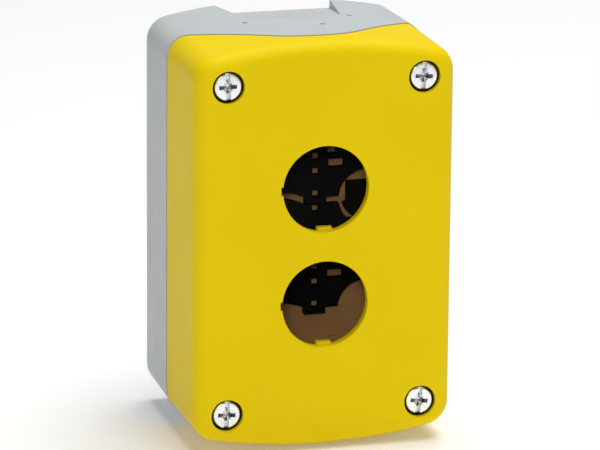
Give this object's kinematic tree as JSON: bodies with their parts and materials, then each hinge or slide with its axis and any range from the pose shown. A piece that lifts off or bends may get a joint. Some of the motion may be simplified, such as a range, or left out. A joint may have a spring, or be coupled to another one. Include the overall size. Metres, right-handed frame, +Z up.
{
  "type": "two-hole control station enclosure",
  "caption": "Empty wall-mounted control station box: yellow cover with keyed round push-button holes on a light grey base, closed by captive slotted screws.",
  "frame": {"origin": "centre of the mounting face at the back, in the middle of the wall-fixing holes", "axes": "+Z up along the long side, +X to the right, the cover faces -Y and +Y points into the wall"},
  "size_m": [0.068, 0.053, 0.106],
  "materials": {
    "yellow_plastic": "yellow polycarbonate, satin moulded",
    "grey_plastic": "light grey polycarbonate, fine texture",
    "black_plastic": "black glass-filled polyamide",
    "zinc_steel": "zinc-plated steel, bright",
    "brass": "turned brass",
    "black_rubber": "black elastomer",
    "white_nylon": "natural nylon"
  },
  "bodies": {
    "base": {"base": "grey_plastic", "contact_carrier_upper": "black_plastic", "contact_carrier_lower": "black_plastic", "threaded_insert_upper_left": "brass", "threaded_insert_upper_right": "brass", "threaded_insert_lower_left": "brass", "threaded_insert_lower_right": "brass"},
    "cover": {"cover": "yellow_plastic", "cover_gasket": "black_rubber"},
    "seal_upper_left": {"screw_seal_upper_left": "black_rubber"},
    "screw_upper_left": {"cover_screw_upper_left": "zinc_steel", "captive_ring_upper_left": "white_nylon"},
    "seal_upper_right": {"screw_seal_upper_right": "black_rubber"},
    "screw_upper_right": {"cover_screw_upper_right": "zinc_steel", "captive_ring_upper_right": "white_nylon"},
    "seal_lower_left": {"screw_seal_lower_left": "black_rubber"},
    "screw_lower_left": {"cover_screw_lower_left": "zinc_steel", "captive_ring_lower_left": "white_nylon"},
    "seal_lower_right": {"screw_seal_lower_right": "black_rubber"},
    "screw_lower_right": {"cover_screw_lower_right": "zinc_steel", "captive_ring_lower_right": "white_nylon"}
  },
  "joints": [
    {"name": "cover_lift", "type": "slide", "parent": "base", "child": "cover", "axis": [0, -1, 0], "range_m": [0, 0.06]},
    {"name": "seal_slide_upper_left", "type": "slide", "parent": "cover", "child": "seal_upper_left", "axis": [0, -1, 0], "range_m": [0, 0.007]},
    {"name": "screw_turn_upper_left", "type": "hinge", "parent": "seal_upper_left", "child": "screw_upper_left", "pos_m": [-0.0254, -0.035, 0.0426], "axis": [0, -1, 0], "range_deg": [0, 3600]},
    {"name": "seal_slide_upper_right", "type": "slide", "parent": "cover", "child": "seal_upper_right", "axis": [0, -1, 0], "range_m": [0, 0.007]},
    {"name": "screw_turn_upper_right", "type": "hinge", "parent": "seal_upper_right", "child": "screw_upper_right", "pos_m": [0.0254, -0.035, 0.0426], "axis": [0, -1, 0], "range_deg": [0, 3600]},
    {"name": "seal_slide_lower_left", "type": "slide", "parent": "cover", "child": "seal_lower_left", "axis": [0, -1, 0], "range_m": [0, 0.007]},
    {"name": "screw_turn_lower_left", "type": "hinge", "parent": "seal_lower_left", "child": "screw_lower_left", "pos_m": [-0.0254, -0.035, -0.0426], "axis": [0, -1, 0], "range_deg": [0, 3600]},
    {"name": "seal_slide_lower_right", "type": "slide", "parent": "cover", "child": "seal_lower_right", "axis": [0, -1, 0], "range_m": [0, 0.007]},
    {"name": "screw_turn_lower_right", "type": "hinge", "parent": "seal_lower_right", "child": "screw_lower_right", "pos_m": [0.0254, -0.035, -0.0426], "axis": [0, -1, 0], "range_deg": [0, 3600]}
  ],
  "couplings": [
    {"joint": "screw_turn_upper_left", "follows": "seal_slide_upper_left", "rad_per_m": 8976},
    {"joint": "screw_turn_upper_right", "follows": "seal_slide_upper_right", "rad_per_m": 8976},
    {"joint": "screw_turn_lower_left", "follows": "seal_slide_lower_left", "rad_per_m": 8976},
    {"joint": "screw_turn_lower_right", "follows": "seal_slide_lower_right", "rad_per_m": 8976}
  ]
}
